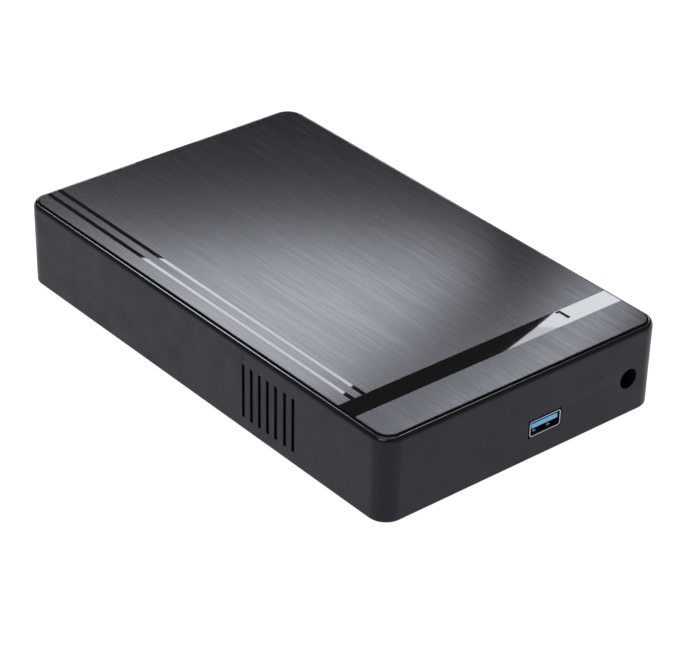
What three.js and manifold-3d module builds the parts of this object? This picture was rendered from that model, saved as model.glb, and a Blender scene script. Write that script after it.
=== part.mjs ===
// Desktop external hard disk drive: a 3.5-inch drive inside a black plastic enclosure.
// Millimetres, +Z up. +X points at the end with the ports and +Y is to its left.
// The origin is under the middle of the object, on the surface it stands on.
import * as THREE from 'three';
import { mergeVertices } from 'three/addons/utils/BufferGeometryUtils.js';
import Module from 'manifold-3d';

const wasm = await Module();
wasm.setup();

// ---- Driving dimensions
const GAP = 0.3; // air between neighbouring pieces
const PAST = 5; // how far a cutting tool runs past the face it opens

const CASE_LENGTH = 190;
const CASE_WIDTH = 116;
const CASE_BOTTOM_Z = 0.8; // the feet hold the case this high
const RIM_Z = 31.5;
const LID_TOP_Z = 32; // the top panel stands proud of the rim
const CASE_CORNER = 7;
const RIM_ROUNDING = { inwards: 1.3, down: 1.7 };
const BOTTOM_ROUNDING = 0.8;
const RIM_WALL = 1.4;
const SIDE_WALL = 3.4; // thicker below the step that carries the top panel
const FLOOR_Z = 2.4;
const STEP_Z = 29.9;

const LID_INSET = 2; // leaves a 0.6 mm groove inside the rim
const LID_THICKNESS = 1.8;
const LID_CORNER = 5;
const INLAY_DEPTH = 0.4;
const INLAY_GAP = 0.1;

const BAND_X = [70.4, 78.3];
const STRIPE_Y = [-50.1, -45.7];
const STRIPE_WIDTH = 1.55;
const WINDOW_X = [70.9, 75.8];
const WINDOW_Y = 35.1;
const WINDOW_WIDTH = 1;
const WINDOW_LEG = { x: [70.9, 71.7], y: [33.8, 35.1] }; // short leg at its inner end

const VENT_X = [26.2, 30.35, 34.4, 38.5, 42.6, 47.1, 51.2];
const VENT_WIDTH = 1.5;
const VENT_Z = [5.6, 25.3];

const LATCH_HALF_WIDTH = 12.4;
const LATCH_ROOT_Z = 8;

const USB_CENTRE = { y: 8.3, z: 12.4 };
const USB_OUTER = { y: 13.1, z: 5.72 };
const USB_METAL = 0.3;
const USB_CLEARANCE = 0.45; // between the shell and its opening in the wall
const USB_X = [76, 95];
const USB_TONGUE = { halfWidth: 5.55, z: [12.3, 14.4], setback: 0.35 };
const DC_CENTRE = { y: 44.7, z: 14.7 };
const DC_HOLE_RADIUS = 3.6;
const DC_BORE_RADIUS = 2.8;
const DC_FACE_X = 92.4; // the jack sits back in its hole

const BOARD_X = [67, 91.2];
const BOARD_Y = [-42, 52];
const BOARD_Z = [7.6, 9.2];
const BOARD_SCREW_Y = [-32, 28];
const BOARD_SCREW_X = 84;

const DRIVE = { x: -11.1, z: 3, length: 147, width: 101.6, height: 26.1 };
const SPINDLE = { x: -22, y: 0 }; // in the drive's own frame
const PIVOT = { x: 31.56, y: -19.5 };
const PARKED_ANGLE = THREE.MathUtils.degToRad(102.3);
const COIL_ANGLE = 301; // degrees, middle of the voice coil motor seen from the pivot
const DECK_Z = 7;
const PLATTER_RADIUS = 47.5;
const PLATTER_THICKNESS = 1.27;
const PLATTER_Z = [10.5, 16.2];
const HUB_RADIUS = 12.2;
const BASE_TOP_Z = 24;
const COVER_Z = [25, 26.1];
const SATA_Y = -18;
const SATA_TONGUE_Z = 3.7; // middle of the connector, in the drive's frame

// ---- Helpers: shapes are three.js geometries, joined and cut as closed solids
function toSolid(geometry) {
  const plain = geometry.clone();
  plain.deleteAttribute('normal');
  plain.deleteAttribute('uv');
  const merged = mergeVertices(plain, 1e-4);
  const vertProperties = new Float32Array(merged.attributes.position.array);
  const triVerts = new Uint32Array(merged.index.array);
  return new wasm.Manifold(new wasm.Mesh({ numProp: 3, vertProperties, triVerts }));
}

function toGeometry(solid) {
  const { vertProperties, triVerts } = solid.getMesh();
  const geometry = new THREE.BufferGeometry();
  geometry.setAttribute('position', new THREE.BufferAttribute(vertProperties, 3));
  geometry.setIndex(new THREE.BufferAttribute(triVerts, 1));
  geometry.computeVertexNormals();
  return geometry;
}

function join(first, ...others) {
  return others.reduce((sum, other) => sum.add(other), first);
}

function cut(first, ...tools) {
  return tools.reduce((rest, tool) => rest.subtract(tool), first);
}

// A block from its ranges along x, y and z.
function block([x0, x1], [y0, y1], [z0, z1]) {
  const geometry = new THREE.BoxGeometry(x1 - x0, y1 - y0, z1 - z0);
  geometry.translate((x0 + x1) / 2, (y0 + y1) / 2, (z0 + z1) / 2);
  return toSolid(geometry);
}

function around(centre, half) {
  return [centre - half, centre + half];
}

// A round bar along z at (x, y).
function bar(radius, [z0, z1], x = 0, y = 0, sides = 24) {
  const geometry = new THREE.CylinderGeometry(radius, radius, z1 - z0, sides);
  geometry.rotateX(Math.PI / 2);
  geometry.translate(x, y, (z0 + z1) / 2);
  return toSolid(geometry);
}

// A round bar along x at (y, z).
function barAlongX(radius, [x0, x1], y, z, sides = 24) {
  const geometry = new THREE.CylinderGeometry(radius, radius, x1 - x0, sides);
  geometry.rotateZ(Math.PI / 2);
  geometry.translate((x0 + x1) / 2, y, z);
  return toSolid(geometry);
}

// A round bar along y at (x, z).
function barAlongY(radius, [y0, y1], x, z, sides = 12) {
  const geometry = new THREE.CylinderGeometry(radius, radius, y1 - y0, sides);
  geometry.translate(x, (y0 + y1) / 2, z);
  return toSolid(geometry);
}

function ring(inner, outer, z, sides = 48) {
  return cut(bar(outer, z, 0, 0, sides), bar(inner, [z[0] - PAST, z[1] + PAST], 0, 0, sides));
}

function roundedOutline([x0, x1], [y0, y1], radius) {
  const outline = new THREE.Shape();
  outline.absarc(x1 - radius, y1 - radius, radius, 0, Math.PI / 2);
  outline.absarc(x0 + radius, y1 - radius, radius, Math.PI / 2, Math.PI);
  outline.absarc(x0 + radius, y0 + radius, radius, Math.PI, 1.5 * Math.PI);
  outline.absarc(x1 - radius, y0 + radius, radius, 1.5 * Math.PI, 2 * Math.PI);
  return outline;
}

// A plate with round corners between two heights. Its top and bottom edges are softened by
// inwards across and by down in height.
function roundedPlate(x, y, [z0, z1], radius, inwards = 0, down = inwards) {
  const geometry = new THREE.ExtrudeGeometry(roundedOutline(x, y, radius), {
    depth: z1 - z0 - 2 * down,
    curveSegments: 4,
    bevelEnabled: inwards > 0,
    bevelThickness: down,
    bevelSize: inwards,
    bevelOffset: -inwards,
    bevelSegments: 5,
  });
  geometry.translate(0, 0, z0 + down);
  return toSolid(geometry);
}

// A flat slab with the given corners.
function slab(points, [z0, z1]) {
  const outline = new THREE.Shape(points.map(([x, y]) => new THREE.Vector2(x, y)));
  const geometry = new THREE.ExtrudeGeometry(outline, { depth: z1 - z0, bevelEnabled: false });
  geometry.translate(0, 0, z0);
  return toSolid(geometry);
}

// A piece of a ring between two angles, in degrees, round the z axis.
function fan(inner, outer, [from, to], [z0, z1], curveSegments = 6) {
  const start = THREE.MathUtils.degToRad(from);
  const end = THREE.MathUtils.degToRad(to);
  const outline = new THREE.Shape();
  outline.absarc(0, 0, outer, start, end, false);
  outline.absarc(0, 0, inner, end, start, true);
  const geometry = new THREE.ExtrudeGeometry(outline, {
    depth: z1 - z0,
    curveSegments,
    bevelEnabled: false,
  });
  geometry.translate(0, 0, z0);
  return toSolid(geometry);
}

// A turned piece: its outline is [radius, z] pairs that start and end on the axis.
function turned(outline, sides = 40) {
  const points = outline.map(([radius, z]) => new THREE.Vector2(radius, z));
  const geometry = new THREE.LatheGeometry(points, sides);
  geometry.rotateX(Math.PI / 2);
  return toSolid(geometry);
}

function polar(radius, degrees) {
  const angle = THREE.MathUtils.degToRad(degrees);
  return [radius * Math.cos(angle), radius * Math.sin(angle)];
}

// ---- Finishes
function finish(color, roughness, metalness = 0) {
  return new THREE.MeshStandardMaterial({ color, roughness, metalness });
}

const FINISH = {
  casePlastic: finish(0x1c1d20, 0.42),
  glossPlastic: finish(0x050506, 0.08),
  brushedPanel: finish(0x5c6066, 0.35, 0.8),
  clearWindow: finish(0x8fa8c8, 0.15),
  rubber: finish(0x18181a, 0.9),
  foam: finish(0x34363a, 0.95),
  steel: finish(0xb9bcc0, 0.25, 1),
  bluePlastic: finish(0x2f86e0, 0.4),
  blackPlastic: finish(0x101012, 0.5),
  board: finish(0x14532d, 0.5),
  chip: finish(0x17181a, 0.6),
  aluminium: finish(0xa8abb0, 0.45, 0.9),
  mirrorDisc: finish(0xd4d7dc, 0.05, 1),
  copper: finish(0xb06a38, 0.35, 0.9),
  whitePlastic: finish(0xd9d8d2, 0.5),
  flexFilm: finish(0xb5722c, 0.4),
};

const model = new THREE.Group();

function addTo(group, name, solid, material) {
  const mesh = new THREE.Mesh(toGeometry(solid), material);
  mesh.name = name;
  group.add(mesh);
  return mesh;
}

function add(name, solid, material) {
  return addTo(model, name, solid, material);
}

// ---- Case
const halfLength = CASE_LENGTH / 2;
const halfWidth = CASE_WIDTH / 2;
const lidHalfX = halfLength - LID_INSET;
const lidHalfY = halfWidth - LID_INSET;
const lidBottomZ = LID_TOP_Z - LID_THICKNESS;
const lowerHalfY = halfWidth - SIDE_WALL;
const portWallX = halfLength - SIDE_WALL;
const farWallX = RIM_WALL - halfLength;

const FEET = [[80, 46], [80, -46], [-80, 46], [-80, -46]];
const FOOT_RADIUS = 6;
const FOOT_TOP_Z = 1.4;
const FLOOR_PAD = { x: [-62, 38], y: 30, halfWidth: 5, z: [2.1, 2.7] };
const RIB_X = [-74, -34, 6, 58];
const RIB_THICKNESS = 2;
const RIB_TOP_Z = 26;
const TAB_Y = [-38, 0, 38];
const TAB_HALF_WIDTH = 4;
const TAB_Z = [28.3, 29.5];
const TAB_X = [89.3, 93.9];
const BOSS_RADIUS = 3.4;
const LATCH_HOOK_Z = [28, 29];

// The whole outside of the case, before it is hollowed.
function caseBlank() {
  const x = around(0, halfLength);
  const y = around(0, halfWidth);
  const upperZ = [CASE_BOTTOM_Z - 20, RIM_Z];
  const { inwards, down } = RIM_ROUNDING;
  const upper = roundedPlate(x, y, upperZ, CASE_CORNER, inwards, down);
  const lower = roundedPlate(x, y, [CASE_BOTTOM_Z, RIM_Z + 20], CASE_CORNER, BOTTOM_ROUNDING);
  return upper.intersect(lower);
}

function latchWindow(extra) {
  const y = around(0, LATCH_HALF_WIDTH + extra);
  return block([-halfLength - PAST, farWallX], y, [LATCH_ROOT_Z + GAP - extra, RIM_Z + PAST]);
}

function bottomCase() {
  const wide = roundedPlate(
    around(0, halfLength - RIM_WALL),
    around(0, halfWidth - RIM_WALL),
    [STEP_Z, RIM_Z + PAST],
    CASE_CORNER - RIM_WALL,
  );
  const bay = block([farWallX, portWallX], around(0, lowerHalfY), [FLOOR_Z, STEP_Z + 1]);
  let body = cut(caseBlank(), wide, bay);

  for (const side of [-1, 1]) {
    const wall = [lowerHalfY - 1, halfWidth + PAST].map((y) => y * side).sort((a, b) => a - b);
    for (const x of VENT_X) {
      body = cut(body, block(around(x, VENT_WIDTH / 2), wall, VENT_Z));
    }
    const ribY = [DRIVE.width / 2 + GAP, lowerHalfY + 1].map((y) => y * side);
    ribY.sort((a, b) => a - b);
    for (const x of RIB_X) {
      const rib = block(around(x, RIB_THICKNESS / 2), ribY, [FLOOR_Z - 1, RIB_TOP_Z]);
      body = join(body, rib);
    }
    const padPocketY = around(side * FLOOR_PAD.y, FLOOR_PAD.halfWidth + GAP);
    const padPocketX = [FLOOR_PAD.x[0] - GAP, FLOOR_PAD.x[1] + GAP];
    body = cut(body, block(padPocketX, padPocketY, [FLOOR_PAD.z[0] - GAP, FLOOR_Z + 1]));
  }

  for (const [x, y] of FEET) {
    body = cut(body, bar(FOOT_RADIUS + GAP, [CASE_BOTTOM_Z - 1, FOOT_TOP_Z + GAP], x, y, 32));
  }

  for (const y of BOARD_SCREW_Y) {
    body = join(body, bar(BOSS_RADIUS, [FLOOR_Z - 1, BOARD_Z[0] - GAP], BOARD_SCREW_X, y));
    body = cut(body, bar(1.4, [FLOOR_Z + 0.6, BOARD_Z[0]], BOARD_SCREW_X, y, 16));
  }

  for (const y of TAB_Y) {
    const pocketY = around(y, TAB_HALF_WIDTH + GAP);
    body = cut(
      body,
      block([TAB_X[0] - 1, TAB_X[1] + GAP], pocketY, [TAB_Z[0] - 0.8, TAB_Z[1] + GAP]),
      block([TAB_X[0] - 1, halfLength - RIM_WALL], pocketY, [TAB_Z[0] - 0.8, STEP_Z + 1]),
    );
  }

  const usbY = around(USB_CENTRE.y, USB_OUTER.y / 2 + USB_CLEARANCE);
  const usbZ = around(USB_CENTRE.z, USB_OUTER.z / 2 + USB_CLEARANCE);
  body = cut(
    body,
    block([portWallX - 1, halfLength + PAST], usbY, usbZ),
    barAlongX(DC_HOLE_RADIUS, [portWallX - 1, halfLength + PAST], DC_CENTRE.y, DC_CENTRE.z, 32),
    latchWindow(GAP),
  );
  return body;
}

add('bottom_case', bottomCase(), FINISH.casePlastic);

FEET.forEach(([x, y], index) => {
  add(`rubber_foot_${index + 1}`, bar(FOOT_RADIUS, [0, FOOT_TOP_Z], x, y, 32), FINISH.rubber);
});

[-1, 1].forEach((side, index) => {
  const y = around(side * FLOOR_PAD.y, FLOOR_PAD.halfWidth);
  add(`floor_pad_${index + 1}`, block(FLOOR_PAD.x, y, FLOOR_PAD.z), FINISH.foam);
});

// The finger latch is the middle of the far wall. A hook inside it holds the top panel's lug.
function latchTongue() {
  const tongue = caseBlank().intersect(latchWindow(0));
  const hook = block([farWallX - 1, farWallX + 0.45], around(0, 6), LATCH_HOOK_Z);
  const gripZ = [16, 18, 20];
  const grips = gripZ.map((z) => {
    return block([-halfLength - 1, 0.3 - halfLength], around(0, 8), around(z, 0.35));
  });
  return cut(join(tongue, hook), ...grips);
}

add('latch_tongue', latchTongue(), FINISH.casePlastic);

// ---- Top panel, hooked into the port end and held by the latch at the far end
const WINDOW_GAP = 0.2;
const inlayFloorZ = LID_TOP_Z - INLAY_DEPTH - GAP;

// The band across the panel and the stripes that run into it, as one comb-shaped insert.
function inlayBlank(extra, z) {
  const end = lidHalfY - 0.4;
  let inlay = block([BAND_X[0] - extra, BAND_X[1] + extra], around(0, end + extra), z);
  for (const y of STRIPE_Y) {
    const stripeX = [0.4 - lidHalfX - extra, BAND_X[0] + 1];
    inlay = join(inlay, block(stripeX, around(y, STRIPE_WIDTH / 2 + extra), z));
  }
  return inlay;
}

// The indicator's outline is a narrow bar with a short leg. extra widens it on every side.
function windowShape(extra, z) {
  const barX = [WINDOW_X[0] - extra, WINDOW_X[1] + extra];
  const legX = [WINDOW_LEG.x[0] - extra, WINDOW_LEG.x[1] + extra];
  const legY = [WINDOW_LEG.y[0] - extra, WINDOW_LEG.y[1]];
  return join(block(barX, around(WINDOW_Y, WINDOW_WIDTH / 2 + extra), z), block(legX, legY, z));
}

function windowSlot() {
  return windowShape(WINDOW_GAP, [lidBottomZ - 1, LID_TOP_Z + 1]);
}

function topPanel() {
  let panel = roundedPlate(
    around(0, lidHalfX),
    around(0, lidHalfY),
    [lidBottomZ, LID_TOP_Z],
    LID_CORNER,
    0.15,
  );
  for (const y of TAB_Y) {
    const tabY = around(y, TAB_HALF_WIDTH);
    const post = block([TAB_X[0], TAB_X[0] + 1.6], tabY, [TAB_Z[0], lidBottomZ + 0.5]);
    panel = join(panel, post, block(TAB_X, tabY, TAB_Z));
  }
  const lug = block([0.4 - lidHalfX, 1.8 - lidHalfX], around(0, 9), [27.6, lidBottomZ + 0.5]);
  const recess = inlayBlank(INLAY_GAP, [inlayFloorZ, LID_TOP_Z + 1]);
  return cut(join(panel, lug), recess, windowSlot());
}

add('top_panel', topPanel(), FINISH.brushedPanel);

const inlayZ = [LID_TOP_Z - INLAY_DEPTH, LID_TOP_Z];
add('gloss_inlay', cut(inlayBlank(0, inlayZ), windowSlot()), FINISH.glossPlastic);

const windowZ = [lidBottomZ, LID_TOP_Z - 0.1];
add('indicator_window', windowShape(0, windowZ), FINISH.clearWindow);

const driveTopZ = DRIVE.z + DRIVE.height;
[-1, 1].forEach((side, index) => {
  const pad = block([-55, 30], around(side * 42, 4), [driveTopZ + GAP, lidBottomZ - GAP]);
  add(`panel_pad_${index + 1}`, pad, FINISH.foam);
});

// ---- Bridge board with its connectors, in the bay behind the ports
const BOARD_SCREW_HOLE = 1.5;
const RECEPTACLE_X = [57.8, 62.8, 66.7, 71];
const sataRowZ = DRIVE.z + SATA_TONGUE_Z;
const partsZ = BOARD_Z[1] + GAP; // what stands on the board starts here

function bridgeBoard() {
  let board = block(BOARD_X, BOARD_Y, BOARD_Z);
  for (const y of BOARD_SCREW_Y) {
    const hole = bar(BOARD_SCREW_HOLE, [BOARD_Z[0] - 1, BOARD_Z[1] + 1], BOARD_SCREW_X, y, 16);
    board = cut(board, hole);
  }
  return board;
}

function boardScrew(y) {
  const head = bar(2.6, [partsZ, partsZ + 1.6], BOARD_SCREW_X, y, 20);
  const slot = block(around(BOARD_SCREW_X, 4), around(y, 0.4), [partsZ + 0.9, partsZ + 3]);
  const shank = bar(1.1, [FLOOR_Z + 1.4, partsZ + 0.5], BOARD_SCREW_X, y, 16);
  return cut(join(head, shank), slot);
}

// The shell is a folded box, open at the front, round the tongue with the contacts.
function usbShell() {
  const outer = block(
    USB_X,
    around(USB_CENTRE.y, USB_OUTER.y / 2),
    around(USB_CENTRE.z, USB_OUTER.z / 2),
  );
  const inner = block(
    [USB_X[0] + 1, USB_X[1] + PAST],
    around(USB_CENTRE.y, USB_OUTER.y / 2 - USB_METAL),
    around(USB_CENTRE.z, USB_OUTER.z / 2 - USB_METAL),
  );
  return cut(outer, inner);
}

function usbTongue() {
  const x = [USB_X[0] + 1 + GAP, USB_X[1] - USB_TONGUE.setback];
  return block(x, around(USB_CENTRE.y, USB_TONGUE.halfWidth), USB_TONGUE.z);
}

function dcJack() {
  const body = block([79, 91.2], around(DC_CENTRE.y, 4.6), [partsZ, DC_CENTRE.z + 5.3]);
  const barrel = barAlongX(DC_HOLE_RADIUS - GAP, [90, DC_FACE_X], DC_CENTRE.y, DC_CENTRE.z, 32);
  const bore = barAlongX(DC_BORE_RADIUS, [85, 99], DC_CENTRE.y, DC_CENTRE.z, 24);
  return cut(join(body, barrel), bore);
}

// The snout goes into the drive's connector; the flange sits on the board's edge.
function sataReceptacle() {
  const [snoutX, blockX, flangeX, endX] = RECEPTACLE_X;
  const snout = block([snoutX, blockX + 1], around(SATA_Y, 18), around(sataRowZ, 1.5));
  const bulk = block([blockX, flangeX], around(SATA_Y, 20), [4.4, partsZ + 1.2]);
  const flange = block([flangeX - 1, endX], around(SATA_Y, 20), [partsZ, partsZ + 1.2]);
  const slot = block([snoutX - PAST, blockX - 0.2], around(SATA_Y, 17), around(sataRowZ, 0.9));
  return cut(join(snout, bulk, flange), slot);
}

// A clear rod that stands astride the LED and ends under the window in the top panel.
const indicatorX = (WINDOW_X[0] + WINDOW_X[1]) / 2;
const LED_TOP_Z = 10.4;

function lightPipe() {
  const bottomZ = LED_TOP_Z + 0.6;
  const rod = block(around(indicatorX, 2.2), around(WINDOW_Y, 1), [bottomZ, STEP_Z - GAP]);
  const bridge = block(around(indicatorX, 4.2), around(WINDOW_Y, 1), [bottomZ, 12.5]);
  const legs = [-3.4, 3.4].map((offset) => {
    return block(around(indicatorX + offset, 0.8), around(WINDOW_Y, 1), [partsZ, 11.5]);
  });
  return join(rod, bridge, ...legs);
}

add('bridge_board', bridgeBoard(), FINISH.board);
BOARD_SCREW_Y.forEach((y, index) => {
  add(`board_screw_${index + 1}`, boardScrew(y), FINISH.steel);
});
add('usb_shell', usbShell(), FINISH.steel);
add('usb_tongue', usbTongue(), FINISH.bluePlastic);
add('dc_jack', dcJack(), FINISH.blackPlastic);
add('dc_pin', barAlongX(1, [85.3, DC_FACE_X - 1], DC_CENTRE.y, DC_CENTRE.z, 16), FINISH.steel);
add('sata_receptacle', sataReceptacle(), FINISH.blackPlastic);
add('bridge_chip', block([73.5, 81.5], [-12, -4], [partsZ, partsZ + 1]), FINISH.chip);
add('capacitor', bar(3.2, [partsZ, partsZ + 8], 75.5, -34, 20), FINISH.aluminium);
const ledShape = block(around(indicatorX, 0.8), around(WINDOW_Y, 0.5), [partsZ, LED_TOP_Z]);
add('status_led', ledShape, FINISH.clearWindow);
add('light_pipe', lightPipe(), FINISH.clearWindow);

// ---- Drive, in its own frame: the origin is under the middle of the drive, on its underside
const drive = new THREE.Group();
drive.position.set(DRIVE.x, 0, DRIVE.z);
model.add(drive);

const driveHalfX = DRIVE.length / 2;
const driveHalfY = DRIVE.width / 2;
const COVER_SCREWS = [
  [-68.7, 46],
  [-68.7, -46],
  [8, 47],
  [8, -47],
  [68.7, 46],
  [68.7, -46],
];
const LOCK = { x: 58, y: -34 };
const DISC_WELL_RADIUS = 48.6;
const UNDERSIDE_Z = 4.4; // roof of the recess that holds the drive's board
const LABEL = { x: [-62, 22], y: [-38, 38] };

function driveWell(z) {
  const discs = bar(DISC_WELL_RADIUS, z, SPINDLE.x, SPINDLE.y, 64);
  return join(discs, roundedPlate([14, 63], [-47, 46.5], z, 3));
}

function driveBase() {
  let base = roundedPlate(around(0, driveHalfX), around(0, driveHalfY), [0, BASE_TOP_Z], 3);
  base = cut(
    base,
    driveWell([DECK_Z, BASE_TOP_Z + PAST]),
    block([-66, driveHalfX + PAST], around(0, 46.5), [-PAST, 1.2]),
    block([2, driveHalfX + PAST], around(0, 46.5), [-PAST, UNDERSIDE_Z]),
    block([63.9, driveHalfX + PAST], around(SATA_Y, 20.8), [-PAST, 6.9]),
  );
  const bearing = bar(5, [DECK_Z - 1, 9.8], SPINDLE.x, SPINDLE.y);
  const lockSeat = bar(2.6, [DECK_Z - 1, 12.2], LOCK.x, LOCK.y);
  const lockPin = bar(1.2, [DECK_Z, 15.5], LOCK.x, LOCK.y, 16);
  base = join(base, bearing, lockSeat, lockPin);
  base = cut(base, bar(2.9, [UNDERSIDE_Z, 12], SPINDLE.x, SPINDLE.y));
  for (const [x, y] of COVER_SCREWS) {
    base = cut(base, bar(1.6, [16, BASE_TOP_Z + PAST], x, y, 12));
  }
  for (const x of [45, -15, -56.6]) {
    base = cut(
      base,
      barAlongY(1.6, [driveHalfY - 3, driveHalfY + PAST], x, 6.35),
      barAlongY(1.6, [-driveHalfY - PAST, 3 - driveHalfY], x, 6.35),
    );
  }
  return base;
}

function driveGasket() {
  const z = [BASE_TOP_Z + GAP, COVER_Z[0] - GAP];
  let gasket = roundedPlate(around(0, driveHalfX - 0.5), around(0, driveHalfY - 0.5), z, 3);
  gasket = cut(gasket, driveWell([z[0] - PAST, z[1] + PAST]));
  for (const [x, y] of COVER_SCREWS) {
    gasket = cut(gasket, bar(1.6, [z[0] - 1, z[1] + 1], x, y, 12));
  }
  return gasket;
}

function driveCover() {
  let cover = roundedPlate(around(0, driveHalfX - 0.3), around(0, driveHalfY - 0.3), COVER_Z, 3);
  cover = cut(
    cover,
    block([LABEL.x[0] - GAP, LABEL.x[1] + GAP], [LABEL.y[0] - GAP, LABEL.y[1] + GAP], [25.6, 30]),
    cut(bar(9, [25.6, 30], PIVOT.x, PIVOT.y), bar(7.5, [25, 31], PIVOT.x, PIVOT.y)),
  );
  for (const [x, y] of COVER_SCREWS) {
    cover = cut(cover, bar(2.8, [COVER_Z[0] - 1, COVER_Z[1] + 1], x, y, 20));
  }
  return cover;
}

// A flat-headed screw with a six-sided socket, standing at its own origin.
function coverScrew() {
  const head = bar(2.5, [25, 26]);
  const shank = bar(1.2, [17, 25.5], 0, 0, 12);
  return cut(join(head, shank), bar(1.1, [25.4, 27], 0, 0, 6));
}

function driveBoard() {
  const board = block([6, 73.2], around(0, 45.5), [1.5, 2.7]);
  return cut(board, block([63.8, 80], around(SATA_Y, 21), [0, 5]));
}

// The drive's side of the connector: a shroud open towards +X with a tongue inside.
function sataPlug() {
  const shroud = block([64.4, driveHalfX], around(SATA_Y, 20.4), [0.9, 6.6]);
  const mouth = block([68.5, driveHalfX + PAST], around(SATA_Y, 18.4), around(SATA_TONGUE_Z, 1.9));
  const tongueX = [68, driveHalfX - 0.4];
  const tongueZ = around(SATA_TONGUE_Z, 0.6);
  const signal = block(tongueX, [SATA_Y + 5.6, SATA_Y + 16.6], tongueZ);
  const power = block(tongueX, [SATA_Y - 16.6, SATA_Y + 3.4], tongueZ);
  return join(cut(shroud, mouth), signal, power);
}

addTo(drive, 'drive_base', driveBase(), FINISH.aluminium);
addTo(drive, 'drive_gasket', driveGasket(), FINISH.rubber);
addTo(drive, 'drive_cover', driveCover(), FINISH.steel);
COVER_SCREWS.forEach(([x, y], index) => {
  const screw = addTo(drive, `cover_screw_${index + 1}`, coverScrew(), FINISH.steel);
  screw.position.set(x, y, 0);
});
addTo(drive, 'drive_label', block(LABEL.x, LABEL.y, [25.9, COVER_Z[1]]), FINISH.whitePlastic);
addTo(drive, 'drive_board', driveBoard(), FINISH.board);
addTo(drive, 'drive_sata_plug', sataPlug(), FINISH.blackPlastic);
addTo(drive, 'controller_chip', block([30, 44], [4, 18], [3, 4]), FINISH.chip);
addTo(drive, 'memory_chip', block([32, 42], [-20, -10], [3, 4]), FINISH.chip);
addTo(drive, 'air_filter', block([44, 58], [26, 40], [DECK_Z + GAP, 21]), FINISH.whitePlastic);

// A bracket on the deck with a loop of film that follows the arm block.
function flexCircuit() {
  const loopCentre = { x: 45.5, y: -8.5 };
  const loop = fan(5.5, 6, [180, 360], [11, 17]).translate([loopCentre.x, loopCentre.y, 0]);
  const bracket = block([50.8, 58], [-9, 2], [DECK_Z + GAP, 18]);
  return join(bracket, loop);
}

addTo(drive, 'flex_circuit', flexCircuit(), FINISH.flexFilm);

const lever = join(bar(3, [12.5, 14.5], 0, 0, 20), block([0, 8], around(0, 0.9), [12.5, 14.5]));
const lock = addTo(drive, 'actuator_lock', cut(lever, bar(1.5, [10, 17], 0, 0, 16)), FINISH.whitePlastic);
lock.position.set(LOCK.x, LOCK.y, 0);
lock.rotation.z = THREE.MathUtils.degToRad(250);

// ---- Disc stack, turning about the spindle
const spindle = new THREE.Group();
spindle.position.set(SPINDLE.x, SPINDLE.y, 0);
drive.add(spindle);

const hubFlangeZ = PLATTER_Z[0] - GAP;
const clampZ = PLATTER_Z[1] + PLATTER_THICKNESS + GAP;
const hub = turned([
  [0, 4.8],
  [2.5, 4.8],
  [2.5, hubFlangeZ],
  [11.2, hubFlangeZ],
  [11.2, hubFlangeZ - 1],
  [15.5, hubFlangeZ - 1],
  [15.5, hubFlangeZ],
  [HUB_RADIUS, hubFlangeZ],
  [HUB_RADIUS, clampZ - GAP - 0.07],
  [0, clampZ - GAP - 0.07],
]);
addTo(spindle, 'motor_stator', ring(5.4, 10.6, [DECK_Z + GAP, 9.8], 36), FINISH.copper);
addTo(spindle, 'spindle_hub', cut(hub, bar(1.5, [12.6, 20], 0, 0, 16)), FINISH.aluminium);
PLATTER_Z.forEach((z, index) => {
  const disc = ring(HUB_RADIUS + GAP, PLATTER_RADIUS, [z, z + PLATTER_THICKNESS], 64);
  addTo(spindle, `platter_${index + 1}`, disc, FINISH.mirrorDisc);
});
const spacerZ = [PLATTER_Z[0] + PLATTER_THICKNESS + GAP, PLATTER_Z[1] - GAP];
addTo(spindle, 'platter_spacer', ring(HUB_RADIUS + GAP, 15.5, spacerZ, 40), FINISH.aluminium);
addTo(spindle, 'platter_clamp', ring(1.6, 15.2, [clampZ, clampZ + 1.2], 40), FINISH.steel);
const clampScrewZ = clampZ + 1.2 + GAP;
const clampScrew = join(
  bar(2.6, [clampScrewZ, clampScrewZ + 1.1], 0, 0, 20),
  bar(1.2, [13, clampScrewZ + 0.5], 0, 0, 12),
);
const clampSocket = bar(1.1, [clampScrewZ + 0.6, clampScrewZ + 3], 0, 0, 6);
addTo(spindle, 'clamp_screw', cut(clampScrew, clampSocket), FINISH.steel);

// ---- Voice coil motor and ramp, fixed to the base round the arm's pivot
const pivot = new THREE.Group();
pivot.position.set(PIVOT.x, PIVOT.y, 0);
drive.add(pivot);

const BEARING_RADIUS = 6.4;
const YOKE_ANGLES = around(COIL_ANGLE, 46);
const MAGNET_ANGLES = around(COIL_ANGLE, 30);
const YOKE_POSTS = [polar(23, COIL_ANGLE - 43), polar(23, COIL_ANGLE + 43)];
const ARM_Z = [[8.2, 9.4], [13.4, 14.6], [18.6, 19.8]];

addTo(pivot, 'pivot_bearing', bar(BEARING_RADIUS, [DECK_Z + GAP, 20.6], 0, 0, 32), FINISH.steel);
const posts = YOKE_POSTS.map(([x, y]) => bar(1.5, [8, 15.3], x, y, 16));
const lowerYoke = join(fan(10.5, 26.8, YOKE_ANGLES, [DECK_Z + GAP, 9.3]), ...posts);
addTo(pivot, 'lower_yoke', lowerYoke, FINISH.steel);
addTo(pivot, 'voice_magnet', fan(13, 25, MAGNET_ANGLES, [9.6, 12.5]), FINISH.chip);
addTo(pivot, 'upper_yoke', fan(10.5, 26.8, YOKE_ANGLES, [15.6, 17.6]), FINISH.steel);

// The comb that lifts the heads off the discs when they are parked.
function headRamp() {
  const column = fan(53.8, 57, [97, 106], [DECK_Z + GAP, 18.5], 3);
  const fins = [[10.3, 12.5], [13.4, 14.6], [15.5, 17.7]];
  return join(column, ...fins.map((z) => fan(50.9, 54.5, [97, 106], z, 3)));
}

addTo(pivot, 'head_ramp', headRamp(), FINISH.whitePlastic);

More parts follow.
